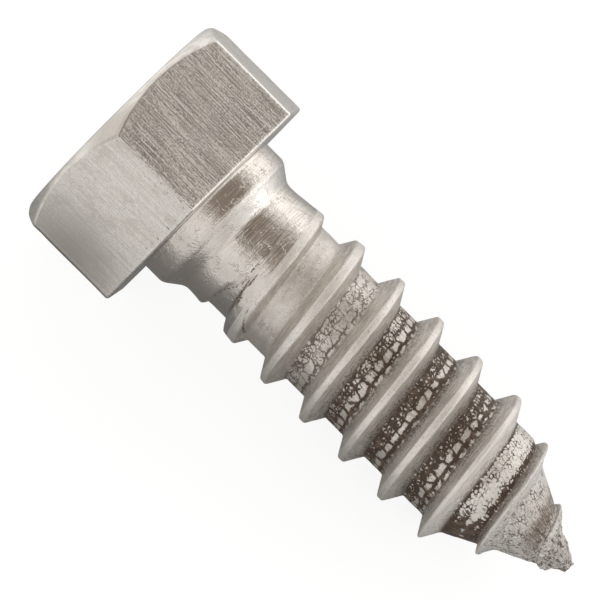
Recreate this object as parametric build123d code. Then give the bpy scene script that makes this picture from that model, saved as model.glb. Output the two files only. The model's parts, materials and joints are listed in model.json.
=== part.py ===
from build123d import *
import math
import os

# Hex lag bolt: forged six-sided head, plain neck and a coarse rolled wood thread that
# runs out on a gimlet point. It is one solid, modelled about its own axis and then laid
# down as it rests on a floor. All sizes are in millimetres and all angles in degrees.
#
# On its own axis the bearing face is z = 0, the head lies on the -z side and the point
# on the +z side. +X is the normal of the hex flat that faces up when the bolt lies.

# ---- Driving dimensions ----
# head
ACROSS_FLATS = 24.0
HEAD_HEIGHT = 11.35
TOP_FLAT_DIA = 22.9  # flat disc left inside the top chamfer
TOP_CHAMFER_ANGLE = 35.0  # down from the top plane, at the middle of the chamfer
CORNER_RADIUS = 0.45  # rounding of the six long edges
UNDER_EDGE_RADIUS = 0.45  # rounding of the outline of the bearing face
# plain part of the shank
BODY_DIA = 15.85  # collar, and crests of the full thread
COLLAR_LENGTH = 2.3
NECK_TAPER_LENGTH = 1.75
BLANK_DIA = 13.25  # rolled neck below the taper
NECK_BLEND_RADIUS = 0.8  # rounding at both ends of the taper
NECK_LENGTH = 5.1  # bearing face to the first rise of the thread
# thread
PITCH = 5.08
ROOT_DIA = 12.3
CREST_FLAT = 0.6
FLANK_ANGLE = 30.0  # each side, so 60 included
FULL_THREAD_START = 15.2  # where the crests reach the body diameter
FIRST_CREST = 3.55  # a crest crosses the +X side at this height
GROOVE_START_ANGLE = 30.0  # about the axis from +X, where the first groove begins
GROOVE_RUN_IN = 85.0  # turn over which it reaches its full depth
# point
SHANK_LENGTH = 47.6  # bearing face to the nipped end
POINT_LENGTH = 11.7  # crests taper over this length
ROOT_CONE_LENGTH = 10.9  # roots taper over this length
END_CREST_RADIUS = 1.15
END_ROOT_RADIUS = 0.62

# ---- Derived sizes ----
APOTHEM = ACROSS_FLATS / 2
CORNER_REACH = APOTHEM / math.cos(math.radians(30))
TOP_FLAT_RADIUS = TOP_FLAT_DIA / 2
CHAMFER_MIDDLE = (TOP_FLAT_RADIUS + CORNER_REACH) / 2
CROWN_RADIUS = CHAMFER_MIDDLE / math.sin(math.radians(TOP_CHAMFER_ANGLE))
BODY_RADIUS = BODY_DIA / 2
BLANK_RADIUS = BLANK_DIA / 2
ROOT_RADIUS = ROOT_DIA / 2
FLANK_SPREAD = math.tan(math.radians(FLANK_ANGLE))
CREST_TAPER_START = SHANK_LENGTH - POINT_LENGTH
ROOT_TAPER_START = SHANK_LENGTH - ROOT_CONE_LENGTH
TAPER_END = COLLAR_LENGTH + NECK_TAPER_LENGTH
SECTIONS_A_TURN = 18  # sections that each turn of the groove is lofted through
CLEARANCE = 0.22  # the groove tool stands this far outside the crests


def along(z, points):
    """Radius at height z on a straight-sided outline given as (z, radius) points."""
    for (z0, r0), (z1, r1) in zip(points, points[1:]):
        if z <= z1:
            return r0 + (r1 - r0) * max(0.0, z - z0) / (z1 - z0)
    return points[-1][1]


CREST_OUTLINE = [
    (0.0, BLANK_RADIUS),
    (NECK_LENGTH, BLANK_RADIUS),
    (FULL_THREAD_START, BODY_RADIUS),
    (CREST_TAPER_START, BODY_RADIUS),
    (SHANK_LENGTH, END_CREST_RADIUS),
]
FULL_CREST_OUTLINE = [
    (0.0, BODY_RADIUS),
    (CREST_TAPER_START, BODY_RADIUS),
    (SHANK_LENGTH, END_CREST_RADIUS),
]
ROOT_OUTLINE = [
    (0.0, ROOT_RADIUS),
    (ROOT_TAPER_START, ROOT_RADIUS),
    (SHANK_LENGTH, END_ROOT_RADIUS),
]


def crest_height(turn):
    """Height at which the crest crosses the direction `turn` degrees from +X."""
    return FIRST_CREST + PITCH * turn / 360


def half_ridge(z):
    """Half the axial width, at the root, of the ridge whose crest is at height z."""
    depth = along(z, FULL_CREST_OUTLINE) - along(z, ROOT_OUTLINE)
    return CREST_FLAT / 2 + depth * FLANK_SPREAD


def turned(profile):
    """Solid of revolution about Z of a flat profile drawn with x = radius and y = height."""
    return revolve(Plane.XZ * profile, Axis.Z)


def hex_head():
    """Hexagonal block, its outline rounded under the head, its top crowned to a disc."""
    outline = fillet(RegularPolygon(CORNER_REACH, 6, rotation=30).vertices(), CORNER_RADIUS)
    block = extrude(Pos(0, 0, -HEAD_HEIGHT) * outline, HEAD_HEIGHT)
    block = fillet(block.edges().group_by(Axis.Z)[-1], UNDER_EDGE_RADIUS)
    # The chamfer is a zone of a sphere centred on the axis.
    reach = CORNER_REACH + 1
    centre = math.sqrt(CROWN_RADIUS**2 - TOP_FLAT_RADIUS**2) - HEAD_HEIGHT
    skirt = (reach, centre - math.sqrt(CROWN_RADIUS**2 - reach**2))
    rim = (TOP_FLAT_RADIUS, -HEAD_HEIGHT)
    halfway = (CHAMFER_MIDDLE, centre - math.sqrt(CROWN_RADIUS**2 - CHAMFER_MIDDLE**2))
    chamfer = ThreePointArc(rim, halfway, skirt)
    rest = Polyline(skirt, (reach, 1), (0, 1), (0, -HEAD_HEIGHT), rim)
    return block & turned(make_face(chamfer + rest))


def plain_shank():
    """Collar, taper and neck, and the turned body that holds every crest."""
    profile = make_face(Polyline(
        (0, -HEAD_HEIGHT / 2),
        (BODY_RADIUS, -HEAD_HEIGHT / 2),
        (BODY_RADIUS, COLLAR_LENGTH),
        (BLANK_RADIUS, TAPER_END),
        *[(r, z) for z, r in CREST_OUTLINE[1:]],
        (0, SHANK_LENGTH),
        close=True,
    ))
    taper_ends = [v for v in profile.vertices() if COLLAR_LENGTH - 0.01 < v.Y < TAPER_END + 0.01]
    return turned(fillet(taper_ends, NECK_BLEND_RADIUS))


def groove_section(turn):
    """Cross-section of the thread groove in the half plane `turn` degrees from +X."""
    # The run-in starts as a shallow scratch along the tip-side flank.
    grown = min(1.0, (turn - GROOVE_START_ANGLE) / GROOVE_RUN_IN)
    near, far = crest_height(turn), crest_height(turn + 360)
    tip_side = far - half_ridge(far)
    head_side = tip_side - (tip_side - near - half_ridge(near)) * (0.25 + 0.75 * grown)
    lift = (BODY_RADIUS - ROOT_RADIUS) * 0.45 * (1 - grown) ** 1.5
    root = [(along(z, ROOT_OUTLINE) + lift, z) for z in (head_side, tip_side)]
    mouth = []
    for (r, z), way in zip(root, (-1, 1)):
        # Follow the flank outwards until it is clear of the crest outline.
        rise = 0.0
        while r + rise < along(z + way * rise * FLANK_SPREAD, CREST_OUTLINE) + CLEARANCE:
            rise += 0.01
        mouth.append((r + rise, z + way * rise * FLANK_SPREAD))
    middle = (mouth[0][1] + mouth[1][1]) / 2
    bridge = (along(middle, CREST_OUTLINE) + 5 * CLEARANCE, middle)
    corners = [root[0], root[1], mouth[1], bridge, mouth[0]]
    heading = math.radians(turn)
    return Wire.make_polygon([(r * math.cos(heading), r * math.sin(heading), z) for r, z in corners])


def groove_turns():
    """Right-hand groove from the neck to past the end of the point, one solid a turn."""
    last = 360 * (SHANK_LENGTH - FIRST_CREST) / PITCH
    turns = []
    for n in range(math.ceil((last - GROOVE_START_ANGLE) / 360)):
        start = GROOVE_START_ANGLE + 360 * n
        turns.append(Solid.make_loft([
            groove_section(start + 360 * step / SECTIONS_A_TURN)
            for step in range(SECTIONS_A_TURN + 1)
        ]))
    return turns


def resting_incline():
    """Angle by which the axis dips towards the point when head and crest both touch."""
    crests = []
    for step in range(0, int(360 * (SHANK_LENGTH - FIRST_CREST) / PITCH), 2):
        down = -math.cos(math.radians(step))
        if down > 0.8:
            for side in (-CREST_FLAT / 2, CREST_FLAT / 2):
                z = crest_height(step) + side
                crests.append((along(z, CREST_OUTLINE) * down, z))
    low, high = 0.0, math.radians(45)
    for _ in range(60):
        dip = (low + high) / 2
        head = (APOTHEM - UNDER_EDGE_RADIUS) * math.cos(dip) - UNDER_EDGE_RADIUS * math.sin(dip)
        head += UNDER_EDGE_RADIUS
        thread = max(r * math.cos(dip) + z * math.sin(dip) for r, z in crests)
        if thread < head:
            low = dip
        else:
            high = dip
    return low


def laid_down(bolt):
    """The bolt on the floor: head towards -X, point towards +X, centred, bottom at z = 0."""
    dip = resting_incline()
    axis = (math.cos(dip), 0, -math.sin(dip))
    up_flat = (math.sin(dip), 0, math.cos(dip))
    lying = Plane(origin=(0, 0, 0), x_dir=up_flat, z_dir=axis).location * bolt
    box = lying.bounding_box()
    return Pos(-box.center().X, -box.center().Y, -box.min.Z) * lying


bolt = hex_head() + plain_shank()
for turn in groove_turns():
    bolt -= turn
os.makedirs("parts", exist_ok=True)
export_step(laid_down(bolt), "parts/lag_bolt.step")
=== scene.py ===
import json
import math

import bmesh
import bpy
import numpy as np
from mathutils import Matrix, Vector, noise


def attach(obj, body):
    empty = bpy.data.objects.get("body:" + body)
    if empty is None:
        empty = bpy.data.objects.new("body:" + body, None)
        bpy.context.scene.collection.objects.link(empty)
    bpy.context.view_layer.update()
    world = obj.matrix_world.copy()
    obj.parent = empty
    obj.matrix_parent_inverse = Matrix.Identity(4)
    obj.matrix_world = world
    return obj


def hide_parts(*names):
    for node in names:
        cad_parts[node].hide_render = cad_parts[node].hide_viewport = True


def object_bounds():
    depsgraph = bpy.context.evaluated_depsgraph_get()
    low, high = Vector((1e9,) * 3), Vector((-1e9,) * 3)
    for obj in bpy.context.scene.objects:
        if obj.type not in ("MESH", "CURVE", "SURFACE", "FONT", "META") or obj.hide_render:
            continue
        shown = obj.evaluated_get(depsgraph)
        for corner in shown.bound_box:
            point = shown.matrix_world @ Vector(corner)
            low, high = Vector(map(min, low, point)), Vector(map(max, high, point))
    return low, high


# Hex lag bolt lying on a white floor. Its surface is one closed mesh, worked out in
# millimetres about the bolt's own axis: the bearing face is z = 0, the head is on the -z
# side and the point on the +z side, and +x is the normal of the hex flat that faces up.
# BOLT_TO_ROW then carries it into the row frame, in metres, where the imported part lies.

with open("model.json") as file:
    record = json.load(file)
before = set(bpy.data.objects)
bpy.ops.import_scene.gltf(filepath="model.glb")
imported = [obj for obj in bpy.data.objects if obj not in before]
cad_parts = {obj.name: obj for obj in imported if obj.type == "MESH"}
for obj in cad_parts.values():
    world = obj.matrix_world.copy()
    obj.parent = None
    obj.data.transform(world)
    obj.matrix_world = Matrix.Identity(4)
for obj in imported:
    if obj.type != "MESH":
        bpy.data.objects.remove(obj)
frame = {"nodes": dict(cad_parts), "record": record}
cad_low, cad_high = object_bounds()
MM = 0.001

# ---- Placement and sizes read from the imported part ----
mounts = {m["name"]: m for m in frame["record"]["mounts"]}
AXIS = Vector(mounts["collar"]["axis"])
UP = Vector(mounts["hex_flat"]["axis"])
SIDE = AXIS.cross(UP)
BODY_RADIUS = mounts["collar"]["dims"]["r_mm"]
COLLAR_LENGTH = mounts["collar"]["dims"]["length_mm"]
BEARING_CENTRE = Vector(mounts["collar"]["pos_m"]) - AXIS * (COLLAR_LENGTH / 2 * MM)
BOLT_TO_ROW = Matrix((UP, SIDE, AXIS)).transposed()
# How far the flats lie inside the CAD's, so that the sharper lower edge clears the floor.
FLAT_INSET = 0.015
APOTHEM = (Vector(mounts["hex_flat"]["pos_m"]) - BEARING_CENTRE).dot(UP) / MM - FLAT_INSET
cad_points = frame["nodes"]["lag_bolt"].data.vertices
cad_heights = [(point.co - BEARING_CENTRE).dot(AXIS) / MM for point in cad_points]
HEAD_HEIGHT = -min(cad_heights)
SHANK_LENGTH = max(cad_heights)

# ---- Sizes of the head that the record doesn't hold, in millimetres ----
HEX_STEP = math.pi / 3  # angle from one flat to the next
TOP_FLAT_RADIUS = 11.45
CROWN_RADIUS = 22.06  # the top chamfer is a zone of this sphere
RIM_INSIDE = 0.3  # reach inwards of the rounded rim between the two
RIM_OUTSIDE = 0.2
CORNER_RADII = (0.15, 0.5, 0.45, 0.45, 0.5, 0.4)  # the worn corners, from 30 degrees round
SHARPEST_CORNER = 0.05
CORNER_WEAR = (0.0, 0.3, 0.28, 0.28, 0.28, 0.28)  # width of the worn strip at each of them
TOP_EDGE_RADIUS = 0.24  # between chamfer and flats
UNDER_EDGE_RADIUS = 0.3
DENT_DEPTH = 0.07  # along the head's lower edge and corners
DENTS_PER_MM = 1.1
DENT_BIAS = 0.1  # raises the dented share of the edges
DENTS_FULL = 0.1  # how far from the worn strips they stay at their deepest
DENTS_END = 0.6  # and where they have faded out
DRAWN_DEPTH = (1.0, 0.15, 0.5, 0.8, 0.4, 0.9)  # of the lines on each flat, upper one first

# ---- Sizes of the shank that the record doesn't hold, in millimetres ----
COLLAR_FILLET = 0.12
NECK_TAPER_LENGTH = 1.75
NECK_TAPER_END = COLLAR_LENGTH + NECK_TAPER_LENGTH
BLANK_RADIUS = 6.625
NECK_BLEND = 0.36  # reach of the rounding at the taper's ends
NECK_LENGTH = 5.1
PITCH = 5.08
ROOT_RADIUS = 6.15
FLANK_SPREAD = math.tan(math.radians(30))  # how far a flank leans for its height
FULL_THREAD_START = 15.2  # where the crests have grown to the body's radius
FIRST_CREST = 3.55  # height of the crest at turn 0, which is at +x
GROOVE_START = 30 / 360  # in turns
GROOVE_RUN_IN = 85 / 360  # within this it reaches its full size
START_WIDTH = 0.25  # share of its full width that it starts with
START_LIFT = 0.45  # share of its full depth that is missing there
START_EASE = 1.5  # power with which that share goes to 0
POINT_LENGTH = 11.7
ROOT_CONE_LENGTH = 10.9
END_CREST_RADIUS = 1.15
END_ROOT_RADIUS = 0.62
CREST_ROUNDING = 0.17
CREST_BLEND = 0.4  # reach of the rounding of the crests' outline
ROOT_ROUNDING = 0.2
NIB_ROUNDING = 0.2
WORN_TURN = 7.6  # from here on the ridge is worn down towards the root
WORN_AWAY = 0.8  # share of its height that it loses there
STUMP = 0.35  # how much less of it the last stretch loses

POINT_OUTLINE = [(SHANK_LENGTH - POINT_LENGTH, BODY_RADIUS), (SHANK_LENGTH, END_CREST_RADIUS)]
FULL_CREST_OUTLINE = [(0.0, BODY_RADIUS), *POINT_OUTLINE]
CREST_OUTLINE = [
    (0.0, BLANK_RADIUS),
    (NECK_LENGTH, BLANK_RADIUS),
    (FULL_THREAD_START, BODY_RADIUS),
    *POINT_OUTLINE,
]
ROOT_OUTLINE = [
    (0.0, ROOT_RADIUS),
    (SHANK_LENGTH - ROOT_CONE_LENGTH, ROOT_RADIUS),
    (SHANK_LENGTH, END_ROOT_RADIUS),
]
LAND_WIDTH = [(0.0, 0.6), (SHANK_LENGTH - 15.0, 0.6), (SHANK_LENGTH - 11.5, 0.15)]  # of the flat crest
NIB_OUTLINE = [  # the nipped end, inside the cone of the crests
    (SHANK_LENGTH - 6.0, 10.0),
    (SHANK_LENGTH - 2.2, 3.0),
    (SHANK_LENGTH - 1.4, 1.65),
    (SHANK_LENGTH - 0.8, 0.95),
    (SHANK_LENGTH, 0.6),
]
NECK_OUTLINE = [
    (0.0, BODY_RADIUS),
    (COLLAR_LENGTH, BODY_RADIUS),
    (NECK_TAPER_END, BLANK_RADIUS),
    (NECK_LENGTH, BLANK_RADIUS),
]

# Laps rolled into the metal where the groove starts: (degrees from +x, height) points.
LAPS = [
    [(80, 6.6), (73, 6.75), (62, 7.15), (54, 7.6), (43, 7.67)],
    [(46, 8.2), (35, 8.08)],
    [(68, 8.1), (57, 8.35)],
    [(67, 8.6), (56, 8.5)],
    [(37, 7.5), (26, 7.4)],
    [(53, 9.35), (64, 9.9), (77, 10.5), (89, 11.0)],
]
LAP_REACH = 0.6  # longest distance from a lap that is worked out
LAP_HALF_WIDTH = 0.3
LAP_DEPTH = 0.07

# Unevenness of rolled and torn metal, as layers of (height, lumps a millimetre, seed).
SWELLINGS = ((0.03, 0.9, 1), (0.015, 2.5, 2))
SWELLING_SINK = 0.045  # keeps them from standing out of the CAD's surface
RAGGEDNESS = ((0.24, 0.9, 3), (0.16, 2.2, 4), (0.11, 4.5, 6))
RAGGED_START = SHANK_LENGTH - 6.5
RAGGED_FULL = SHANK_LENGTH - 2.5
BROKEN_START = SHANK_LENGTH - 1.2
BROKEN_DEPTH = 0.25  # most that is broken off the very end
CALMER_END = 0.4  # share of its raggedness that the very end loses
CORE_RADIUS = 0.3  # nearer to the axis, points move less and less

# ---- Mesh density ----
FLAT_STEPS = 16  # columns on half of a hex flat
CORNER_STEPS = 8  # columns round one hex corner
COLUMNS = 6 * (2 * FLAT_STEPS + CORNER_STEPS)
STRIP_START = 4.7  # where the rings end and the helical rows begin
# Where the rings lie on each part of the head, as shares of the way across it.
TOP_SHARES = (0, 0.25, 0.5, 0.7, 0.85, 0.94)
CHAMFER_SHARES = (0.33, 0.66)
FLAT_SHARES = (0.03, 0.1, 0.2, 0.32, 0.44, 0.56, 0.68, 0.8, 0.9, 0.97, 1.0)
BEARING_SHARES = (0.03, 0.12, 0.4, 0.7, 0.9, 1.0)
# The same for the rows across half the crest, a flank and the groove's floor.
CREST_STATIONS = np.array([0.0, 0.4, 0.75, 1.0])
FLANK_STATIONS = np.array([0.06, 0.14, 0.28, 0.44, 0.6, 0.76, 0.9, 1.0])
ROOT_STATIONS = np.array([0.05, 0.1, 0.17, 0.26, 0.36, 0.46, 0.56, 0.66, 0.76, 0.86, 0.93])
STRIP_ROWS = 2 * len(CREST_STATIONS) + 2 * len(FLANK_STATIONS) + len(ROOT_STATIONS) - 1


def along(z, outline):
    """Radius at height z on a straight-sided outline given as (z, radius) points."""
    heights, radii = zip(*outline)
    return np.interp(z, heights, radii)


def softened(z, outline, reach):
    """The same outline with its corners rounded over `reach` to each side."""
    return np.mean([along(z + reach * way, outline) for way in np.linspace(-1, 1, 9)], axis=0)


def smaller(a, b, rounding):
    """The smaller of a and b, with a rounded change from one to the other."""
    share = np.clip(0.5 + 0.5 * (b - a) / rounding, 0, 1)
    return b + (a - b) * share - rounding * share * (1 - share)


def ramp(value, low, high):
    """0 below low, 1 above high and smooth between them."""
    share = np.clip((value - low) / (high - low), 0, 1)
    return share * share * (3 - 2 * share)


def lumps(points, per_mm, seed):
    """Smooth noise of about -1 to 1 at each point, with `per_mm` lumps a millimetre."""
    shift = Vector((seed * 17.3, seed * 5.9, seed * 11.1))
    flat = points.reshape(-1, 3)
    found = [noise.noise(Vector(p) * per_mm + shift) for p in flat]
    return np.array(found).reshape(points.shape[:-1])


def layered(points, layers):
    """The sum of layers of lumps, each given as (height, lumps a millimetre, seed)."""
    return sum(height * lumps(points, per_mm, seed) for height, per_mm, seed in layers)


# ---- Head ----
def corner_arc(number, inset):
    """Points round one rounded corner of the hex, between its two flats."""
    radius = CORNER_RADII[number] - min(inset, CORNER_RADII[number] - SHARPEST_CORNER)
    heading = HEX_STEP * number
    half = (APOTHEM - inset - radius) * math.tan(HEX_STEP / 2)
    forward = np.array([math.cos(heading), math.sin(heading)])
    sideways = np.array([-math.sin(heading), math.cos(heading)])
    centre = forward * (APOTHEM - inset - radius) + sideways * half
    turn = heading + HEX_STEP * np.linspace(0, 1, CORNER_STEPS + 1)
    return centre + radius * np.column_stack([np.cos(turn), np.sin(turn)])


def hex_ring(inset):
    """Points round the head's outline, moved `inset` inwards, from the middle of the upper flat."""
    points = []
    shares = np.arange(1, 2 * FLAT_STEPS)[:, None] / (2 * FLAT_STEPS)
    for number in range(6):
        corner = corner_arc(number, inset)
        following = corner_arc((number + 1) % 6, inset)
        points.append(corner)
        points.append(corner[-1] + (following[0] - corner[-1]) * shares)
    return np.roll(np.vstack(points), FLAT_STEPS, axis=0)


def circle(radius):
    """Points round a circle about the axis, one for each column."""
    turn = 2 * math.pi * np.arange(COLUMNS) / COLUMNS
    return np.column_stack([np.cos(turn), np.sin(turn)]) * radius


def crown_height(radius):
    """Height of the spherical chamfer at that distance from the axis."""
    centre = math.sqrt(CROWN_RADIUS**2 - TOP_FLAT_RADIUS**2) - HEAD_HEIGHT
    return centre - np.sqrt(CROWN_RADIUS**2 - radius**2)


def rounded(start, corner, end, steps):
    """Points on a rounded corner from start to end, each a (radius, height) pair of arrays."""
    rings = []
    for t in np.linspace(0, 1, steps):
        weights = ((1 - t) ** 2, 2 * t * (1 - t), t * t)
        rings.append(tuple(sum(w * p[k] for w, p in zip(weights, (start, corner, end))) for k in (0, 1)))
    return rings


def ring(xy, height):
    """One closed ring of points."""
    return np.column_stack([xy, np.ones(COLUMNS) * height])


def crown_rings():
    """Rings of the flat top, its rim, the chamfer and the worn edge above the flats."""
    outline = hex_ring(0)
    reach = np.linalg.norm(outline, axis=1)
    heading = outline / reach[:, None]
    level = np.ones(COLUMNS)
    top = level * -HEAD_HEIGHT
    profile = [(level * TOP_FLAT_RADIUS * share, top) for share in TOP_SHARES]
    rim_end = TOP_FLAT_RADIUS + RIM_OUTSIDE
    profile += rounded(
        (level * (TOP_FLAT_RADIUS - RIM_INSIDE), top),
        (level * TOP_FLAT_RADIUS, top),
        (level * rim_end, level * crown_height(rim_end)),
        4,
    )
    edge_start = reach - TOP_EDGE_RADIUS
    for share in CHAMFER_SHARES:
        radius = rim_end + (edge_start - rim_end) * share
        profile.append((radius, crown_height(radius)))
    profile += rounded(
        (edge_start, crown_height(edge_start)),
        (reach, crown_height(reach)),
        (reach, crown_height(reach) + TOP_EDGE_RADIUS),
        6,
    )
    return [ring(heading * radius[:, None], height) for radius, height in profile]


def flat_rings():
    """Rings down the hex flats, from the chamfer's edge to the rounded lower edge."""
    outline = hex_ring(0)
    top = crown_height(np.linalg.norm(outline, axis=1)) + TOP_EDGE_RADIUS
    rings = [ring(outline, top + (-UNDER_EDGE_RADIUS - top) * share) for share in FLAT_SHARES]
    for turn in np.linspace(0, math.pi / 2, 7)[1:]:
        inset = UNDER_EDGE_RADIUS * (1 - math.cos(turn))
        rings.append(ring(hex_ring(inset), UNDER_EDGE_RADIUS * (math.sin(turn) - 1)))
    return rings


def bearing_rings():
    """Rings of the flat bearing face, from the head's lower edge in to the collar."""
    foot = circle(BODY_RADIUS + COLLAR_FILLET)
    edge = hex_ring(UNDER_EDGE_RADIUS)
    return [ring(edge + (foot - edge) * share, 0) for share in BEARING_SHARES]


def neck_rings():
    """Rings of the collar, taper and neck, closest together where the outline bends."""
    heights = [
        *np.linspace(COLLAR_FILLET, COLLAR_LENGTH - 0.45, 7),
        *np.linspace(COLLAR_LENGTH - NECK_BLEND, COLLAR_LENGTH + NECK_BLEND, 6),
        *np.linspace(COLLAR_LENGTH + 0.5, NECK_TAPER_END - 0.5, 5),
        *np.linspace(NECK_TAPER_END - NECK_BLEND, STRIP_START, 8),
    ]
    return [ring(circle(softened(height, NECK_OUTLINE, NECK_BLEND)), height) for height in heights]


def edge_distance(points):
    """Distance of each point of the head from a corner's worn strip or the rounded lower edge."""
    heading = np.arctan2(points[..., 1], points[..., 0])
    reach = np.hypot(points[..., 0], points[..., 1])
    off_flat = np.abs((heading + HEX_STEP / 2) % HEX_STEP - HEX_STEP / 2)
    corner = np.floor(heading / HEX_STEP).astype(int) % 6
    half_flat = APOTHEM * math.tan(HEX_STEP / 2) - np.array(CORNER_WEAR)[corner]
    return np.minimum(half_flat - reach * np.sin(off_flat), -UNDER_EDGE_RADIUS - points[..., 2])


def rim_distance(points):
    """How far below the edge of the chamfer each point of the head lies."""
    reach = np.hypot(points[..., 0], points[..., 1])
    return points[..., 2] - crown_height(np.minimum(reach, CROWN_RADIUS))


def pushed(points, outwards):
    """The points moved away from the axis by `outwards`."""
    scale = 1 + outwards / np.maximum(np.hypot(points[..., 0], points[..., 1]), CORE_RADIUS)
    return points * np.stack([scale, scale, np.ones_like(scale)], axis=-1)


def dented(points):
    """The head's points, pushed inwards a little here and there near its worn edges."""
    near = ramp(-edge_distance(points), -DENTS_END, -DENTS_FULL) * (points[..., 2] < 0)
    depth = DENT_DEPTH * near * np.maximum(lumps(points, DENTS_PER_MM, seed=7) + DENT_BIAS, 0)
    return pushed(points, -depth)


# ---- Thread ----
def half_width(z, outline):
    """Half the width along the axis of the ridge where it meets that outline."""
    below_crest = along(z, FULL_CREST_OUTLINE) - along(z, outline)
    return along(z, LAND_WIDTH) / 2 + below_crest * FLANK_SPREAD


def half_crest(z):
    return half_width(z, CREST_OUTLINE)


def half_ridge(z):
    return half_width(z, ROOT_OUTLINE)


def strip_offsets(turn):
    """Distance along the axis of each row from its crest, a column of rows for each turn value."""
    near = FIRST_CREST + PITCH * turn[:, None]
    far = near + PITCH
    crest_near, crest_far = half_crest(near), half_crest(far)
    foot_near, foot_far = half_ridge(near), half_ridge(far)
    return np.hstack([
        crest_near * CREST_STATIONS,
        crest_near + (foot_near - crest_near) * FLANK_STATIONS,
        foot_near + (PITCH - foot_far - foot_near) * ROOT_STATIONS,
        PITCH - crest_far - (foot_far - crest_far) * FLANK_STATIONS[::-1],
        PITCH - crest_far * CREST_STATIONS[:0:-1],
    ])


def groove_radius(z, turn):
    """Radius of the groove that starts at crest `turn`: its floor and, beyond it, its flanks."""
    near = FIRST_CREST + PITCH * turn
    far = near + PITCH
    grown = np.clip((turn - GROOVE_START) / GROOVE_RUN_IN, 0, 1)
    tip_side = far - half_ridge(far)
    width = (tip_side - near - half_ridge(near)) * (START_WIDTH + (1 - START_WIDTH) * grown)
    head_side = tip_side - width
    lift = (BODY_RADIUS - ROOT_RADIUS) * START_LIFT * (1 - grown) ** START_EASE
    floor = along(np.clip(z, head_side, tip_side), ROOT_OUTLINE) + lift
    past = np.maximum(head_side - z, z - tip_side)
    walls = floor + past / FLANK_SPREAD
    return -smaller(-floor, -walls, ROOT_ROUNDING)


def worn_crest_radius(z, turn):
    """Radius of the ridge's crest, worn down on the last turns."""
    near = FIRST_CREST + PITCH * turn
    nearest = turn + np.clip((z - near) / PITCH, 0, 1)  # turn value of the ridge beside this point
    lost = WORN_AWAY * ramp(nearest, WORN_TURN, WORN_TURN + 0.4)
    lost = lost - STUMP * ramp(nearest, WORN_TURN + 0.55, WORN_TURN + 0.7)
    crest = softened(z, CREST_OUTLINE, CREST_BLEND)
    return crest - (crest - along(z, ROOT_OUTLINE)) * lost


def thread_radius(z, turn):
    """Radius of the rolled surface at height z, in the groove that starts at crest `turn`."""
    rolled = smaller(worn_crest_radius(z, turn), groove_radius(z, turn), CREST_ROUNDING)
    return smaller(rolled, softened(z, NIB_OUTLINE, NIB_ROUNDING), NIB_ROUNDING)


def thread_strip():
    """The thread as one long strip: points, and how far along and across the groove each lies."""
    first = math.floor(((STRIP_START - FIRST_CREST) / PITCH - 1) * COLUMNS)
    last = math.ceil(((SHANK_LENGTH - FIRST_CREST) / PITCH + 1) * COLUMNS) + 1
    turn = np.arange(first, last + 1) / COLUMNS
    offsets = strip_offsets(turn)
    turns = np.repeat(turn[:, None], STRIP_ROWS, axis=1)
    z = np.clip(FIRST_CREST + PITCH * turns + offsets, STRIP_START, SHANK_LENGTH)
    radius = thread_radius(z, turns)
    heading = 2 * math.pi * turns
    points = np.stack([radius * np.cos(heading), radius * np.sin(heading), z], axis=-1)
    return points, turns, offsets


def lap_distance(points):
    """Distance of each point from the nearest rolled-in lap, no more than LAP_REACH."""
    flat = np.stack([np.arctan2(points[..., 1], points[..., 0]) * BLANK_RADIUS, points[..., 2]], axis=-1)
    nearest = np.full(points.shape[:-1], LAP_REACH)
    for lap in LAPS:
        marks = [np.array([math.radians(degrees) * BLANK_RADIUS, height]) for degrees, height in lap]
        for start, end in zip(marks, marks[1:]):
            run = end - start
            share = np.clip((flat - start) @ run / (run @ run), 0, 1)
            away = np.linalg.norm(flat - start - share[..., None] * run, axis=-1)
            nearest = np.minimum(nearest, away)
    return nearest


def worn(points):
    """The same points with the laps, dents and swellings of rolled metal, and its torn end."""
    z = points[..., 2]
    tip = ramp(z, RAGGED_START, RAGGED_FULL)
    end = ramp(z, BROKEN_START, SHANK_LENGTH)
    thread = ramp(z, NECK_LENGTH, NECK_LENGTH + 3)
    swell = thread * (layered(points, SWELLINGS) - SWELLING_SINK)
    swell = swell - LAP_DEPTH * ramp(-lap_distance(points), -LAP_HALF_WIDTH, 0.0)
    swell = swell + tip * layered(points, RAGGEDNESS) * (1 - CALMER_END * end)
    moved = pushed(points, swell)
    moved[..., 2] -= BROKEN_DEPTH * end * (0.5 + 0.5 * lumps(points, 2.0, seed=5))
    return moved


# ---- Mesh ----
def ring_quads(count):
    """Quads that join a stack of `count` closed rings."""
    index = np.arange(count * COLUMNS).reshape(count, COLUMNS)
    after = np.roll(index, -1, axis=1)
    return np.stack([index[:-1], after[:-1], after[1:], index[1:]], axis=-1).reshape(-1, 4)


def ring_uv(points):
    """Unrolled coordinates of the ring quads' corners: round the body, and along the axis."""
    count = len(points)
    u = BODY_RADIUS * 2 * math.pi * np.arange(COLUMNS + 1) / COLUMNS
    left, right = np.tile(u[:-1], (count - 1, 1)), np.tile(u[1:], (count - 1, 1))
    v = points[..., 2]
    after = np.roll(v, -1, axis=1)
    u = np.stack([left, right, right, left], axis=-1)
    v = np.stack([v[:-1], after[:-1], after[1:], v[1:]], axis=-1)
    return np.stack([u, v], axis=-1).reshape(-1, 2)


def strip_corners(table):
    """The four corners of each quad of the strip, from a table of one value per point."""
    return np.stack([table[:-1, :-1], table[1:, :-1], table[1:, 1:], table[:-1, 1:]], axis=-1)


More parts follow.
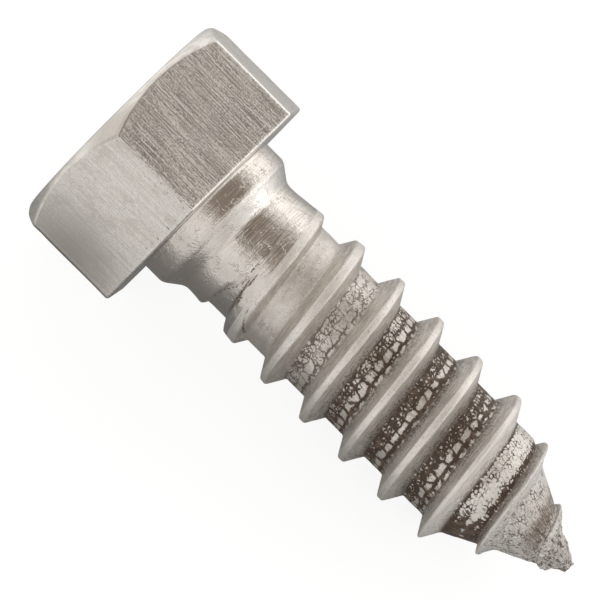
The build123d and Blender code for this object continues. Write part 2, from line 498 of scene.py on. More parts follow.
def strip_mesh(turns, offsets, first_index):
    """Quads and unrolled coordinates of the strip. Its last row joins the next turn's first."""
    count = len(turns)
    index = first_index + np.arange(count * STRIP_ROWS).reshape(count, STRIP_ROWS)
    usable = count - COLUMNS
    rows = np.hstack([index[:usable], index[COLUMNS:, :1]])
    across = np.hstack([offsets[:usable], np.full((usable, 1), PITCH)])
    length = 2 * math.pi * BODY_RADIUS * turns[:usable, :1] + np.zeros(STRIP_ROWS + 1)
    uv = np.stack([strip_corners(length), strip_corners(across)], axis=-1)
    return strip_corners(rows).reshape(-1, 4), uv.reshape(-1, 2)


def head_attributes(points):
    """Values for the shaders at each point of the rings."""
    side = np.round(np.arctan2(points[:, 1], points[:, 0]) / HEX_STEP).astype(int) % 6
    none = np.zeros(len(points))
    return {
        "drawn": np.array(DRAWN_DEPTH)[side],
        "edge": edge_distance(points),
        "rim": rim_distance(points),
        "root": none,
        "turn": none,
        "rise": none,
        "lap": none + LAP_REACH,
    }


def thread_attributes(points, turns):
    """Values for the shaders at each point of the thread."""
    z = points[..., 2]
    near = FIRST_CREST + PITCH * turns
    into_root = np.minimum(z - near - half_ridge(near), near + PITCH - half_ridge(near + PITCH) - z)
    grown = ramp(turns, GROOVE_START, GROOVE_START + GROOVE_RUN_IN)
    none = np.zeros(z.shape)
    values = {
        "drawn": none,
        "edge": none,
        "rim": none,
        "root": ramp(into_root, -0.15, 0.1) * grown,
        "turn": turns,
        "rise": np.clip(-into_root / (half_ridge(z) - half_crest(z)), 0, 1),
        "lap": lap_distance(points),
    }
    return {name: table.ravel() for name, table in values.items()}


def new_mesh(points, faces, uv, attributes):
    """A smooth mesh in the row frame, with its unrolled map and the shaders' values."""
    mesh = bpy.data.meshes.new("lag_bolt_surface")
    in_row = points @ np.array(BOLT_TO_ROW).T * MM + np.array(BEARING_CENTRE)
    mesh.from_pydata(in_row.tolist(), [], faces.tolist())
    mesh.polygons.foreach_set("use_smooth", np.ones(len(faces), bool))
    mesh.uv_layers.new(name="unrolled").data.foreach_set("uv", uv.ravel())
    place = mesh.attributes.new("place", "FLOAT_VECTOR", "POINT")
    place.data.foreach_set("vector", points.astype(np.float32).ravel())
    for name, values in attributes.items():
        layer = mesh.attributes.new(name, "FLOAT", "POINT")
        layer.data.foreach_set("value", values.astype(np.float32))
    return mesh


def close_seams(mesh, end_material):
    """Join points that coincide, and fill the small ring left at the very end."""
    shape = bmesh.new()
    shape.from_mesh(mesh)
    bmesh.ops.remove_doubles(shape, verts=shape.verts, dist=0.002 * MM)
    rim = [edge for edge in shape.edges if edge.is_boundary]
    bmesh.ops.edgeloop_fill(shape, edges=rim, mat_nr=end_material, use_smooth=True)
    shape.to_mesh(mesh)
    shape.free()


def new_object(name, data):
    """An object in the scene with that data."""
    made = bpy.data.objects.new(name, data)
    bpy.context.scene.collection.objects.link(made)
    return made


def build_bolt(materials):
    """The whole bolt as one closed mesh object. `materials` are crown, flats and shank."""
    stacks = [crown_rings(), flat_rings() + bearing_rings(), neck_rings()]
    rings = dented(np.array([points for stack in stacks for points in stack]))
    ring_points = rings.reshape(-1, 3)
    strip_points, turns, offsets = thread_strip()
    quads, strip_uv = strip_mesh(turns, offsets, len(ring_points))
    head, thread = head_attributes(ring_points), thread_attributes(strip_points, turns)
    mesh = new_mesh(
        np.vstack([ring_points, worn(strip_points).reshape(-1, 3)]),
        np.vstack([ring_quads(len(rings)), quads]),
        np.vstack([ring_uv(rings), strip_uv]),
        {name: np.concatenate([head[name], thread[name]]) for name in head},
    )
    for material in materials:
        mesh.materials.append(material)
    sizes = [len(stack) * COLUMNS for stack in stacks]
    sizes[0] -= COLUMNS  # a stack of rings has one row of quads fewer than rings
    mesh.polygons.foreach_set("material_index", np.repeat([0, 1, 2, 2], [*sizes, len(quads)]))
    close_seams(mesh, end_material=2)
    return new_object("bolt", mesh)


# ---- Materials ----
class Shader:
    """The node tree of one material or world, built with few words."""

    def __init__(self, owner):
        owner.use_nodes = True
        self.owner = owner
        self.tree = owner.node_tree
        self.tree.nodes.clear()

    def node(self, kind, inputs=None, **settings):
        """A node with its settings; each input is a plain value or another node's output."""
        made = self.tree.nodes.new("ShaderNode" + kind)
        for key, value in settings.items():
            setattr(made, key, value)
        for key, value in (inputs or {}).items():
            if isinstance(value, bpy.types.NodeSocket):
                self.tree.links.new(value, made.inputs[key])
            else:
                made.inputs[key].default_value = value
        return made

    def show(self, surface, output="OutputMaterial"):
        """Make the tree end in that shader node."""
        out = self.node(output)
        self.tree.links.new(surface.outputs[0], out.inputs["Surface"])

    def math(self, operation, first, *others):
        """The operation on the first value and the next, then on the result and the next."""
        result = first
        for value in others:
            result = self.node("Math", {0: result, 1: value}, operation=operation).outputs[0]
        return result

    def add(self, *values):
        return self.math("ADD", *values)

    def less(self, *values):
        return self.math("SUBTRACT", *values)

    def times(self, *values):
        return self.math("MULTIPLY", *values)

    def most(self, *values):
        return self.math("MAXIMUM", *values)

    def size(self, value):
        """The value without its sign."""
        return self.math("ABSOLUTE", value, 0.0)

    def without(self, share):
        return self.less(1.0, share)

    def swing(self, pattern, reach):
        """A pattern of 0 to 1, moved to lie about 0 and made `reach` wide."""
        return self.times(self.less(pattern, 0.5), reach)

    def ramp(self, value, low, high, to_low=0.0, to_high=1.0):
        """`to_low` up to `low`, `to_high` from `high` on, and smooth between them."""
        ends = {"From Min": low, "From Max": high, "To Min": to_low, "To Max": to_high}
        made = self.node("MapRange", {"Value": value, **ends}, interpolation_type="SMOOTHSTEP")
        return made.outputs[0]

    def band(self, value, start, full, full_end, end):
        """1 between `full` and `full_end`, and 0 before `start` and after `end`."""
        return self.times(self.ramp(value, start, full), self.ramp(value, end, full_end))

    def mix(self, share, a, b):
        """Colour a where the share is 0, and b where it is 1."""
        return self.node("Mix", {"Factor": share, 6: a, 7: b}, data_type="RGBA").outputs[2]

    def vectors(self, operation, a, b):
        return self.node("VectorMath", {0: a, 1: b}, operation=operation).outputs

    def scaled(self, vector, *scale):
        return self.vectors("MULTIPLY", vector, scale)["Vector"]

    def distance(self, vector, point):
        return self.vectors("DISTANCE", vector, point)["Value"]

    def parts(self, vector):
        """The vector's x, y and z."""
        return self.node("SeparateXYZ", {0: vector}).outputs

    def noise(self, vector, scale=1.0, detail=3.0, roughness=0.55):
        """Clouds of about 0 to 1, with `scale` of them for each unit of the vector."""
        inputs = {"Vector": vector, "Scale": scale, "Detail": detail, "Roughness": roughness}
        return self.node("TexNoise", inputs).outputs["Fac"]

    def warped(self, vector, per_mm, reach):
        """The vector moved about by up to half of `reach`, for shapes with wandering edges."""
        swirl = self.node("TexNoise", {"Vector": vector, "Scale": per_mm, "Detail": 3.0})
        shift = self.scaled(swirl.outputs["Color"], reach, reach, 0.0)
        return self.vectors("ADD", vector, shift)["Vector"]

    def cell_edge(self, vector, randomness):
        """Distance from the nearest border of a pattern of cells, one cell per unit."""
        inputs = {"Vector": vector, "Scale": 1.0, "Randomness": randomness}
        made = self.node("TexVoronoi", inputs, feature="DISTANCE_TO_EDGE", voronoi_dimensions="2D")
        return made.outputs["Distance"]

    def place(self):
        """Position on the bolt about its own axis, in millimetres."""
        return self.node("Attribute", attribute_name="place").outputs["Vector"]

    def attribute(self, name):
        return self.node("Attribute", attribute_name=name).outputs["Fac"]

    def unrolled(self):
        """Length round the bolt and distance across the groove, in millimetres."""
        return self.node("UVMap", uv_map="unrolled").outputs["UV"]

    def steel(self, colour, roughness, normal, metallic=1.0):
        """The finished material."""
        inputs = {"Base Color": colour, "Metallic": metallic, "Roughness": roughness, "Normal": normal}
        self.show(self.node("BsdfPrincipled", inputs))
        return self.owner

    def bump(self, height, depth):
        """A normal for relief `depth` millimetres deep where the height goes from 0 to 1."""
        inputs = {"Height": height, "Strength": 1.0, "Distance": depth * MM}
        return self.node("Bump", inputs).outputs[0]


STEEL = (0.60, 0.556, 0.508, 1.0)
BRIGHT_STEEL = (0.72, 0.676, 0.62, 1.0)
# scuffed steel also paints highlights on the taper and the point
SCUFFED_STEEL_AND_HIGHLIGHT = (0.82, 0.78, 0.725, 1.0)
# dull steel also paints a dark reflection on the chamfer
DULL_STEEL_AND_DARK_REFLECTION = (0.47, 0.427, 0.38, 1.0)
# drawn steel also paints the shade near one corner of the flats
DRAWN_STEEL_AND_SHADE = (0.31, 0.286, 0.26, 1.0)
OXIDE = (0.068, 0.043, 0.027, 1.0)
LIGHT_OXIDE = (0.145, 0.1, 0.069, 1.0)
GRIME = (0.11, 0.09, 0.075, 1.0)

# ---- Head: scale of the patterns across, across and along the bolt ----
DRAWN_LINES = (11.0, 11.0, 0.22)
DRAWN_HAIRS = (15.0, 15.0, 1.6)
FLAT_GRAIN = (1.0, 1.0, 0.75)
FLATS_RELIEF = 0.04  # in millimetres
CROWN_RELIEF = 0.02
CROWN_SWEEP = (0.5, 0.5, 2.5)
CROWN_ROUGHNESS = 0.26
PAINTED_SHADE_SQUEEZE = (1.0, 1.0, 0.8)  # the painted shade is longer along the bolt than across it
# Its middle, once squeezed, and the middle of the painted dark reflection on the chamfer.
PAINTED_SHADE_CORNER = (0.0, APOTHEM / math.cos(HEX_STEP / 2), -0.4 * HEAD_HEIGHT)
DARK_REFLECTION_CORNER = (APOTHEM, APOTHEM * math.tan(HEX_STEP / 2), 1.0 - HEAD_HEIGHT)


def drawn_streaks(s, place):
    """Lines and hairs along the bolt with grain between them, and that grain by itself."""
    lines = s.noise(s.scaled(place, *DRAWN_LINES), detail=0.0)
    hairs = s.noise(s.scaled(place, *DRAWN_HAIRS), detail=1.0)
    grain = s.noise(s.scaled(place, *FLAT_GRAIN), 7.5, 3.0, 0.75)
    return s.add(s.times(lines, 0.24), s.times(hairs, 0.2), s.times(grain, 0.56)), grain


def dirty_flats(s, colour, place, edge):
    """The flats' colour with smudges, pits and the grime below the chamfer's edge."""
    smudge = s.ramp(s.noise(s.scaled(place, 1.0, 1.0, 0.7), 0.5, 4.0, 0.7), 0.5, 0.64, 0.0, 0.35)
    colour = s.mix(smudge, colour, DULL_STEEL_AND_DARK_REFLECTION)
    near_edge = s.ramp(edge, 0.9, 0.2, 0.0, 0.06)
    pits = s.ramp(s.add(s.noise(place, 2.6, 2.0), near_edge), 0.71, 0.75, 0.0, 0.6)
    colour = s.mix(pits, colour, GRIME)
    rim = s.add(s.attribute("rim"), s.times(s.noise(place, 3.5, 3.0, 0.7), 0.5))
    return s.mix(s.ramp(rim, 0.5, 0.38, 0.0, 0.5), colour, GRIME)


def flats_material():
    """Hex flats: drawn steel with fine lines along the axis, pits, edges worn bright, and a painted
    shade near one corner.
    """
    s = Shader(bpy.data.materials.new("steel_flats"))
    place = s.place()
    edge = s.attribute("edge")
    drawn = s.attribute("drawn")
    cloud = s.noise(place, 0.22)
    streaks, grain = drawn_streaks(s, place)
    faint = s.mix(s.ramp(streaks, 0.28, 0.72), STEEL, SCUFFED_STEEL_AND_HIGHLIGHT)
    deep = s.mix(s.ramp(streaks, 0.455, 0.545), DRAWN_STEEL_AND_SHADE, SCUFFED_STEEL_AND_HIGHLIGHT)
    colour = dirty_flats(s, s.mix(drawn, faint, deep), place, edge)
    chips = s.noise(place, 2.5, 4.0, 0.75)
    worn_bright = s.ramp(s.add(edge, s.less(chips, 0.5)), 0.1, -0.1)
    colour = s.mix(s.times(worn_bright, 0.8), colour, SCUFFED_STEEL_AND_HIGHLIGHT)
    # painted shade: the flats darken towards one corner
    from_painted_shade = s.distance(s.scaled(place, *PAINTED_SHADE_SQUEEZE), PAINTED_SHADE_CORNER)
    painted_shade = s.ramp(s.add(from_painted_shade, s.times(cloud, 2.0)), 9.5, 1.5, 0.0, 0.9)
    colour = s.mix(painted_shade, colour, DRAWN_STEEL_AND_SHADE)
    roughness = s.less(s.ramp(cloud, 0.3, 0.7, 0.34, 0.4), s.times(worn_bright, 0.16))
    depth = s.add(s.times(drawn, 0.9), 0.1)
    nicks = s.times(chips, s.ramp(edge, 0.3, 0.0), 1.2)
    height = s.add(s.times(streaks, depth), s.times(grain, 0.15), nicks)
    return s.steel(colour, roughness, s.bump(height, FLATS_RELIEF))


def crown_material():
    """Chamfer and top: smooth forged steel with dull swept streaks and a painted dark reflection about
    one corner.
    """
    s = Shader(bpy.data.materials.new("steel_crown"))
    place = s.place()
    grain = s.noise(place, 4.0, 4.0)
    sweep = s.noise(s.scaled(place, *CROWN_SWEEP), 1.0, 4.0, 0.65)
    cloud = s.noise(place, 0.35)
    colour = s.mix(s.ramp(cloud, 0.35, 0.65), BRIGHT_STEEL, SCUFFED_STEEL_AND_HIGHLIGHT)
    colour = s.mix(s.ramp(sweep, 0.48, 0.6, 0.0, 0.7), colour, STEEL)
    # painted dark reflection: the chamfer darker about its middle corner
    dark_reflection = s.add(s.distance(place, DARK_REFLECTION_CORNER), s.swing(sweep, 5.0))
    colour = s.mix(s.ramp(dark_reflection, 4.4, 1.6, 0.0, 0.8), colour, DULL_STEEL_AND_DARK_REFLECTION)
    height = s.add(grain, s.times(sweep, 1.5))
    return s.steel(colour, CROWN_ROUGHNESS, s.bump(height, CROWN_RELIEF))


# ---- Shank: stretches of the thread, in turns, as (start, full, full end, end) or (start, full) ----
THREADED_FROM = (0.3, 1.0)
CRAZED_TURNS = (1.4, 1.8, 2.4, 2.8)  # more chips
OXIDE_FROM = (1.5, 4.0)
GRIME_FROM = (1.5, 3.8)
BARE_TURNS = (5.5, 5.7, 6.13, 6.19)  # a patch with little oxide
BLACKENED_TURNS = (6.16, 6.24, 6.4, 6.5)  # more oxide at its end
SPENT_FROM = (6.5, 6.8)  # little oxide is left from here
POLISHED_TURNS = (5.5, 5.75, 6.4, 6.7)  # its bright metal
RUBBED_AND_SHEEN_TURNS = (5.6, 5.9, 7.5, 7.8)  # flank on the point's side of the ridge, rubbed bright and partly a painted highlight
BROWNED_TURNS = (6.5, 6.6, 7.05, 7.25)  # brown patch in the groove
PITTED_FROM = (6.4, 7.4)  # the rough metal of the point
PAINTED_SHEEN_UNTIL = (8.0, 7.6)  # painted highlight on one side of the point, ending here

# ---- Shank: scale of the patterns along and across the groove ----
SCRATCHES = (0.5, 6.5, 1.0)
TICKS = (5.0, 0.6, 1.0)
FLANK_CLOUDS = (0.35, 1.5, 1.0)
SLABS = (0.62, 1.0, 1.0)
CHIPS = (1.8, 2.3, 1.0)
OXIDE_PATCHES = (0.6, 0.9, 1.0)
OXIDE_FLECKS = (1.0, 1.3, 1.0)
OXIDE_SWAY = (0.35, 0.0, 1.0)
ISLAND_STRETCHES = (0.8, 0.0, 1.0)

ROOT_START = 1.33  # where the groove's floor begins and ends across the strip
ROOT_END = 3.75
# Bands across that floor, as shares of its width from the head's side.
ISLAND_BAND = (0.48, 0.58, 0.74, 0.80)  # islands of bare metal
SEAM_BAND = (0.78, 0.82, 0.87, 0.91)  # the crack beside them
LIP_BAND = (0.9, 0.94, 1.02, 1.1)  # bare metal at the foot of the flank

TAPER_HEIGHTS = (COLLAR_LENGTH - 0.1, COLLAR_LENGTH + 0.2, NECK_TAPER_END - 0.2, NECK_TAPER_END + 0.1)
BEND_HEIGHT = COLLAR_LENGTH + 0.05  # of the wrinkles between collar and taper
SHANK_RELIEF = 0.04
NECK_ROUGHNESS = 0.17  # and what the thread, the oxide and the point add to it
THREAD_ROUGHENS = 0.3
OXIDE_ROUGHENS = 0.12
POINT_SMOOTHS = -0.13


class ThreadPatterns:
    """What the steps of the shank's material share: where a point lies, and marks on the metal."""

    def __init__(self, s):
        self.place = s.place()
        self.unrolled = s.unrolled()
        self.across = s.parts(self.unrolled)[1]
        self.turn = s.attribute("turn")
        self.rise = s.attribute("rise")
        self.root = s.attribute("root")
        self.threaded = s.ramp(self.turn, *THREADED_FROM)
        self.pitted = s.ramp(self.turn, *PITTED_FROM)
        self.polished = s.times(s.band(self.turn, *POLISHED_TURNS), self.root)
        # the point's side of the last ridges: rubbed bright, and partly a painted highlight
        self.rubbed_and_sheen = s.times(s.ramp(self.across, 1.5, 1.2), s.band(self.turn, *RUBBED_AND_SHEEN_TURNS))
        self.scratches = s.noise(s.scaled(self.unrolled, *SCRATCHES), 1.0, 3.0, 0.6)
        self.drawn_out = s.times(self.scratches, s.without(self.root))
        self.ticks = s.noise(s.scaled(self.unrolled, *TICKS), 1.0, 2.0, 0.6)
        self.grain = s.noise(self.place, 6.5, 3.0, 0.75)
        self.coarse = s.noise(self.place, 2.2, 4.0, 0.7)
        folds = s.noise(s.scaled(self.place, 1.0, 1.0, 0.6), 2.6, 3.0, 0.6)
        self.wrinkles = s.size(s.less(folds, 0.5))
        # painted glints on the point's lumps
        self.knob_glints = s.times(s.ramp(self.coarse, 0.5, 0.58), self.pitted)
        side = s.parts(self.place)[1]
        # painted highlight on one side of the point
        sheen_side = s.ramp(s.add(side, s.swing(s.noise(self.place, 0.9, 3.0), 7.0)), 1.2, -0.8)
        self.painted_sheen = s.times(sheen_side, self.pitted, s.ramp(self.turn, *PAINTED_SHEEN_UNTIL))


def oxide_marks(s, t, flecks):
    """Where the groove's floor has islands, seam, lip and the feet of its flanks."""
    inside = s.math("DIVIDE", s.less(t.across, ROOT_START), ROOT_END - ROOT_START)
    sway = s.less(s.noise(s.scaled(t.unrolled, *OXIDE_SWAY), 1.0, 2.0), 0.5)
    uneven = s.add(inside, s.times(sway, 0.45), s.times(flecks, 0.25))
    scattered = s.ramp(s.noise(s.scaled(t.unrolled, *ISLAND_STRETCHES), 1.0, 2.0), 0.38, 0.5, 0.35, 1.0)
    islands = s.times(s.band(uneven, *ISLAND_BAND), scattered)
    foot = s.most(s.ramp(inside, 0.12, 0.0), s.ramp(inside, 0.9, 1.0))
    return islands, s.band(uneven, *SEAM_BAND), s.band(uneven, *LIP_BAND), foot


def oxide_cover(s, t):
    """Brown oxide on the groove's floor: how much covers the metal, and how much only tints it.

    It fills the cracks between slabs of bare metal and between smaller chips: a few at first,
    all but islands from the fourth turn to the sixth, and patches and specks up to the point.
    """
    patch = s.band(t.turn, *BARE_TURNS)
    blackened = s.band(t.turn, *BLACKENED_TURNS)
    spent = s.most(patch, s.ramp(t.turn, *SPENT_FROM))
    age = s.times(s.ramp(t.turn, *OXIDE_FROM), s.without(s.times(spent, 0.9)))
    patches = s.less(s.noise(s.scaled(t.unrolled, *OXIDE_PATCHES), 1.0, 3.0), 0.5)
    flecks = s.less(s.noise(s.scaled(t.unrolled, *OXIDE_FLECKS), 3.5, 4.0, 0.75), 0.5)
    islands, seam, lip, foot = oxide_marks(s, t, flecks)
    crack = s.add(
        s.ramp(t.turn, 1.0, 2.3, -0.06, 0.015),
        s.times(age, 0.08),
        s.times(seam, age, 0.5),
        s.times(foot, s.ramp(t.turn, 1.0, 2.0, 0.03, 0.08)),
        s.times(patches, s.ramp(age, 0.0, 1.0, 0.12, 0.3)),
        s.times(spent, -0.22),
        s.times(blackened, 0.25),
    )
    chipped = s.add(
        s.times(age, s.less(0.30, s.times(islands, 0.55), s.times(lip, 0.22))),
        s.times(patches, 0.8),
        s.times(patch, s.add(s.times(foot, 0.3), 0.05)),
        s.times(s.band(t.turn, *CRAZED_TURNS), 0.05),
        s.times(blackened, 0.16),
        -0.06,
    )
    slabs = s.cell_edge(s.scaled(s.warped(t.unrolled, 1.5, 0.7), *SLABS), 0.55)
    chips = s.cell_edge(s.scaled(s.warped(t.unrolled, 2.2, 0.8), *CHIPS), 1.0)
    slab_metal = s.less(s.add(slabs, s.times(flecks, s.ramp(age, 0.0, 1.0, 0.1, 0.25))), crack)
    chip_metal = s.less(s.add(chips, s.times(flecks, 0.45)), chipped)
    bare = s.times(s.ramp(slab_metal, 0.0, 0.03), s.ramp(chip_metal, 0.0, 0.05))
    tint = s.most(s.ramp(slab_metal, 0.16, 0.0), s.ramp(chip_metal, 0.18, 0.0))
    cover = s.times(s.without(bare), s.ramp(t.turn, 0.5, 3.0, 0.25, 1.0))
    return cover, s.times(tint, s.ramp(t.turn, 1.5, 3.2, 0.08, 0.4))


def neck_steel(s, place):
    """Colour and relief of the collar and neck: turned lines on the upper side, orange peel, curls, and
    a painted highlight on one side of the taper.
    """
    up, side, height = s.parts(place)
    taper = s.band(height, *TAPER_HEIGHTS)
    lines = s.noise(s.scaled(place, 0.4, 0.4, 11.0), detail=1.0)
    patchy = s.ramp(s.noise(place, 0.5, 2.0), 0.36, 0.6, 0.4, 1.0)
    towards_front = s.ramp(side, -3.5, 0.5, 0.45, 1.0)
    upper = s.times(s.ramp(side, 4.6, 3.2, 0.1, 1.0), towards_front, s.ramp(up, 2.0, 4.0))
    turned = s.times(upper, patchy, s.without(s.times(taper, 0.7)))
    peel = s.noise(s.scaled(place, 1.0, 1.0, 1.4), 1.7, 2.0)
    grain = s.noise(place, 6.0, 2.0)
    from_bend = s.size(s.less(height, BEND_HEIGHT))
    wrinkles = s.times(s.noise(place, 3.0, 3.0, 0.7), s.ramp(from_bend, 0.55, 0.15))
    curls = s.ramp(s.size(s.less(s.noise(place, 2.2, 1.0), 0.5)), 0.035, 0.0)
    curls = s.times(curls, s.ramp(s.noise(place, 0.9, 2.0), 0.52, 0.62))
    colour = s.mix(s.ramp(lines, 0.35, 0.65), DULL_STEEL_AND_DARK_REFLECTION, BRIGHT_STEEL)
    colour = s.mix(turned, STEEL, colour)
    # painted highlight: the taper paler on one side
    colour = s.mix(s.times(taper, s.ramp(side, 3.5, 0.5), 0.75), colour, SCUFFED_STEEL_AND_HIGHLIGHT)
    relief = s.add(peel, s.times(lines, turned, 0.8), s.times(grain, 0.5), s.times(curls, 0.6))
    return colour, s.add(relief, s.times(wrinkles, 1.6))


def rolled_steel(s, t):
    """Colour of clean rolled thread: dull flanks with scratches, and a light land on the crest."""
    cloud = s.noise(s.scaled(t.unrolled, *FLANK_CLOUDS), 1.0, 4.0, 0.6)
    flank = s.mix(s.ramp(cloud, 0.35, 0.65), STEEL, BRIGHT_STEEL)
    faint_ticks = s.add(s.times(s.less(t.ticks, 0.5), s.ramp(t.turn, 0.8, 3.0, 0.35, 1.0)), 0.5)
    streaks = s.add(t.drawn_out, s.times(faint_ticks, t.root))
    flank = s.mix(s.ramp(streaks, 0.50, 0.62, 0.0, 0.8), flank, SCUFFED_STEEL_AND_HIGHLIGHT)
    flank = s.mix(s.ramp(streaks, 0.46, 0.36, 0.0, 0.7), flank, DULL_STEEL_AND_DARK_REFLECTION)
    flank = s.mix(s.ramp(t.grain, 0.52, 0.36, 0.0, 0.6), flank, DULL_STEEL_AND_DARK_REFLECTION)
    land = s.ramp(s.add(t.rise, s.swing(t.grain, 0.3)), 0.93, 1.0)
    return s.mix(s.times(land, 0.6), flank, SCUFFED_STEEL_AND_HIGHLIGHT)


def thread_relief(s, t):
    """Relief of the thread: scratches along it and a rough grain, coarser at the point."""
    crinkled = s.add(
        s.times(t.coarse, t.pitted, 9.0),
        s.times(t.coarse, t.polished, 2.5),
        s.times(t.ticks, t.polished),
    )
    return s.add(s.times(t.grain, 0.9), t.drawn_out, crinkled)


def scuffed_and_highlighted(s, t, colour):
    """The colour with its bright places: the rubbed flank, partly a painted highlight, the polished
    groove and the point, with painted highlights on one side of the point and on its lumps.
    """
    colour = s.mix(s.times(t.rubbed_and_sheen, s.ramp(t.scratches, 0.4, 0.6, 0.35, 0.9)), colour, SCUFFED_STEEL_AND_HIGHLIGHT)
    colour = s.mix(s.most(s.times(t.polished, 0.7), s.times(t.pitted, 0.4)), colour, SCUFFED_STEEL_AND_HIGHLIGHT)
    return s.mix(s.times(s.most(t.painted_sheen, t.knob_glints), 0.8), colour, SCUFFED_STEEL_AND_HIGHLIGHT)


def grimy(s, t, colour):
    """The colour with specks, more at the foot of the flanks, and the point's creases and wrinkles."""
    unsheened = s.without(s.times(t.painted_sheen, 0.75))
    foot = s.times(s.ramp(t.rise, 0.8, 0.0), s.ramp(t.rise, 0.0, 0.02))
    specks = s.add(s.noise(t.place, 4.2, 4.0, 0.75), s.times(foot, s.ramp(t.turn, *GRIME_FROM), 0.17))
    specks = s.times(s.ramp(specks, 0.61, 0.70), t.threaded, s.less(0.75, s.times(t.rubbed_and_sheen, 0.25)))
    colour = s.mix(s.times(specks, unsheened), colour, GRIME)
    creases = s.ramp(s.less(t.coarse, s.ramp(t.turn, 7.8, 8.4, 0.0, 0.05)), 0.46, 0.37)
    colour = s.mix(s.times(creases, t.pitted, 0.9, unsheened), colour, GRIME)
    return s.mix(s.times(s.ramp(t.wrinkles, 0.03, 0.0), t.pitted, 0.8), colour, GRIME)


def browned(s, t, colour):
    """The colour with the crumbled brown patch in the seventh groove."""
    crumbled = s.add(t.across, s.times(t.ticks, 2.8), s.times(t.wrinkles, 4.0))
    patch = s.times(
        s.band(crumbled, 4.1, 4.8, 5.8, 6.3),
        s.band(t.turn, *BROWNED_TURNS),
        s.ramp(s.add(t.ticks, t.coarse), 0.75, 1.05),
    )
    return s.mix(s.times(patch, 0.9), colour, LIGHT_OXIDE)


def oxidised(s, t, colour):
    """The colour with the oxide in the groove and in the laps, and how much of it is there."""
    cover, tint = oxide_cover(s, t)
    colour = s.mix(s.times(tint, t.root), colour, LIGHT_OXIDE)
    from_lap = s.add(s.attribute("lap"), s.times(s.less(s.noise(t.place, 3.0, 3.0, 0.75), 0.49), 0.45))
    dark = s.most(s.times(cover, t.root), s.ramp(from_lap, 0.10, 0.02, 0.0, 0.85))
    rust = s.mix(s.ramp(s.noise(t.place, 1.4, 3.0), 0.45, 0.65), OXIDE, LIGHT_OXIDE)
    return s.mix(dark, colour, rust), dark


def shank_material():
    """Collar, neck and thread: turned lines on the neck, crackled oxide in the thread's grooves."""
    s = Shader(bpy.data.materials.new("steel_shank"))
    t = ThreadPatterns(s)
    neck, neck_relief = neck_steel(s, t.place)
    colour = s.mix(t.threaded, neck, rolled_steel(s, t))
    colour = browned(s, t, grimy(s, t, scuffed_and_highlighted(s, t, colour)))
    colour, dark = oxidised(s, t, colour)
    roughness = s.add(s.times(t.threaded, THREAD_ROUGHENS), NECK_ROUGHNESS)
    roughness = s.add(roughness, s.times(dark, OXIDE_ROUGHENS), s.times(t.pitted, POINT_SMOOTHS))
    height = s.add(s.times(neck_relief, s.without(t.threaded)), s.times(thread_relief(s, t), t.threaded))
    height = s.less(height, s.times(dark, 0.7))
    # less metal where the painted highlights and the rubbed flank lie, so that they read brighter
    bright = s.most(t.rubbed_and_sheen, t.painted_sheen, t.knob_glints)
    metal = s.less(1.0, s.times(dark, 0.6), s.times(t.threaded, 0.22), s.times(bright, 0.4))
    return s.steel(colour, roughness, s.bump(height, SHANK_RELIEF), metal)


# ---- Studio ----
FLOOR_SIZE = 3.0
FLOOR_PAINT = (0.25, 0.25, 0.25, 1.0)
FLOOR_GLOW = 0.84  # to the camera, on top of the lit paint
MIRRORED_GLOW = 0.9  # in reflections, far from the bolt
SHADE_REACH = 93 * MM  # how far from the bolt it is halved, on the side away from the key lamp
LIT_REACH = 48 * MM  # and on the side of the key lamp
REACH_CHANGE = 30 * MM  # half the width of the change from one to the other
SHADE_HALF_LENGTH = 20 * MM
SHADE_LEAN = 10 * MM  # how far the shade's middle lies towards the head
SHADE_SHIFT = 3 * MM  # and towards -y
SHADE_END = 3.0  # how much faster it ends along the bolt than across
SHADE_GLOW = 0.08  # what is left beside the bolt
WHITE = (1.0, 1.0, 1.0, 1.0)
HORIZON = (0.05, 0.4)  # the world brightens from one height to the other
HORIZON_GLOW = 0.8
CEILING = (0.34, 0.29, 0.25, 1.0)  # dark patch of the world overhead
CEILING_TURN = math.radians(93)  # direction of the patch's middle, from SIDE towards UP
CEILING_EDGE = math.cos(math.radians(46))  # it ends at this angle from its middle
CEILING_CORE = math.cos(math.radians(20))  # and is darkest within this one
CEILING_DIRECTION = SIDE * math.cos(CEILING_TURN) + UP * math.sin(CEILING_TURN)


def floor_fade(s):
    """How bright the floor is in reflections, from SHADE_GLOW beside the bolt upwards."""
    x, y = s.parts(s.node("NewGeometry").outputs["Position"])[:2]
    from_middle = s.size(s.add(x, SHADE_LEAN))
    past_end = s.times(s.most(s.less(from_middle, SHADE_HALF_LENGTH), 0.0), SHADE_END)
    beside = s.add(y, SHADE_SHIFT)
    away = s.add(s.times(past_end, past_end), s.times(beside, beside))
    reach = s.ramp(y, -REACH_CHANGE, REACH_CHANGE, SHADE_REACH, LIT_REACH)
    return s.add(s.math("DIVIDE", away, s.add(away, s.times(reach, reach))), SHADE_GLOW)


def floor_material():
    """White paint that keeps shadows, with a glow that fades near the bolt in reflections."""
    s = Shader(bpy.data.materials.new("white_floor"))
    rays = s.node("LightPath").outputs
    mirrored = s.most(rays["Is Glossy Ray"], rays["Is Transmission Ray"])
    mirrored_glow = s.times(mirrored, floor_fade(s), MIRRORED_GLOW)
    glow = s.add(s.times(rays["Is Camera Ray"], FLOOR_GLOW), mirrored_glow)
    paint = s.node("BsdfDiffuse", {"Color": FLOOR_PAINT})
    light = s.node("Emission", {"Color": WHITE, "Strength": glow})
    s.show(s.node("AddShader", {0: paint.outputs[0], 1: light.outputs[0]}))
    s.owner.cycles.emission_sampling = "NONE"
    return s.owner


def white_floor():
    """A wide floor under the bolt."""
    half = FLOOR_SIZE / 2
    corners = [(-half, -half, 0), (half, -half, 0), (half, half, 0), (-half, half, 0)]
    mesh = bpy.data.meshes.new("floor")
    mesh.from_pydata(corners, [], [(0, 1, 2, 3)])
    mesh.materials.append(floor_material())
    floor = new_object("floor", mesh)
    floor.location.z = cad_low.z
    return floor


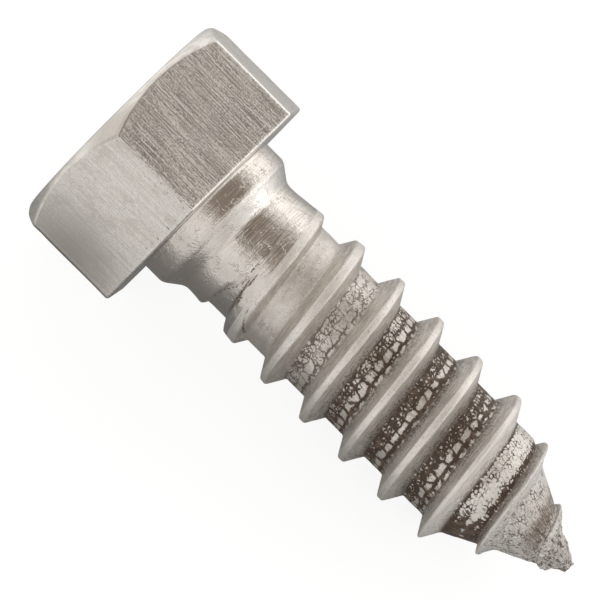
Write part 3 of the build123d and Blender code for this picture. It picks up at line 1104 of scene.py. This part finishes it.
def studio_world():
    """Soft white light, less of it low down and overhead; to the camera it is plain white."""
    world = bpy.data.worlds.new("studio")
    bpy.context.scene.world = world
    s = Shader(world)
    direction = s.node("TexCoord").outputs["Generated"]
    facing = s.vectors("DOT_PRODUCT", direction, CEILING_DIRECTION.normalized())["Value"]
    dark = s.ramp(facing, CEILING_EDGE, CEILING_CORE)
    wall = s.ramp(s.parts(direction)[2], *HORIZON, HORIZON_GLOW, 1.0)
    seen = s.node("LightPath").outputs["Is Camera Ray"]
    colour = s.mix(seen, s.mix(dark, WHITE, CEILING), WHITE)
    light = s.node("Background", {"Color": colour, "Strength": s.most(wall, seen)})
    s.show(light, "OutputWorld")


def soft_lamp(name, direction, distance, width, height, glow):
    """A softbox that faces the bolt from that direction, `glow` times as bright as white."""
    light = bpy.data.lights.new(name, "AREA")
    light.shape = "RECTANGLE"
    light.size = width
    light.size_y = height
    light.energy = math.pi * width * height * glow
    lamp = new_object(name, light)
    towards = Vector(direction).normalized()
    lamp.location = towards * distance
    lamp.rotation_euler = towards.to_track_quat("Z", "Y").to_euler()


# ---- Camera ----
CAMERA_TILT = math.radians(24.9)  # about the bolt's axis, from the upper flat's normal
CAMERA_DISTANCE = 581 * MM
VIEW_WIDTH = 55.38 * MM  # of the frame, at the bolt's axis
AIM_ALONG = 12.46 * MM  # from the bearing face towards the point
AIM_ACROSS = 0.09 * MM  # at right angles to that
SENSOR_WIDTH = 36.0


def add_camera():
    """A camera at right angles to the bolt's axis, turned so that the bolt lies on the diagonal."""
    towards = SIDE * math.sin(CAMERA_TILT) + UP * math.cos(CAMERA_TILT)
    across = SIDE * math.cos(CAMERA_TILT) - UP * math.sin(CAMERA_TILT)
    right = (AXIS - across).normalized()
    up = -(AXIS + across).normalized()
    data = bpy.data.cameras.new("camera")
    data.sensor_width = SENSOR_WIDTH
    data.lens = SENSOR_WIDTH * CAMERA_DISTANCE / VIEW_WIDTH
    camera = new_object("camera", data)
    aim = BEARING_CENTRE + AXIS * AIM_ALONG + across * AIM_ACROSS
    pose = Matrix((right, up, towards)).transposed().to_4x4()
    pose.translation = aim + towards * CAMERA_DISTANCE
    camera.matrix_world = pose
    bpy.context.scene.camera = camera


bolt = build_bolt([crown_material(), flats_material(), shank_material()])
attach(bolt, "root")
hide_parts("lag_bolt")

white_floor()
studio_world()
soft_lamp("key_softbox", (0.45, 1.0, 0.4), distance=1.0, width=1.5, height=0.75, glow=0.75)
soft_lamp("fill_softbox", (0.3, -1.0, 0.9), distance=1.0, width=0.7, height=0.7, glow=0.12)
add_camera()
bpy.context.scene.view_settings.view_transform = "Standard"
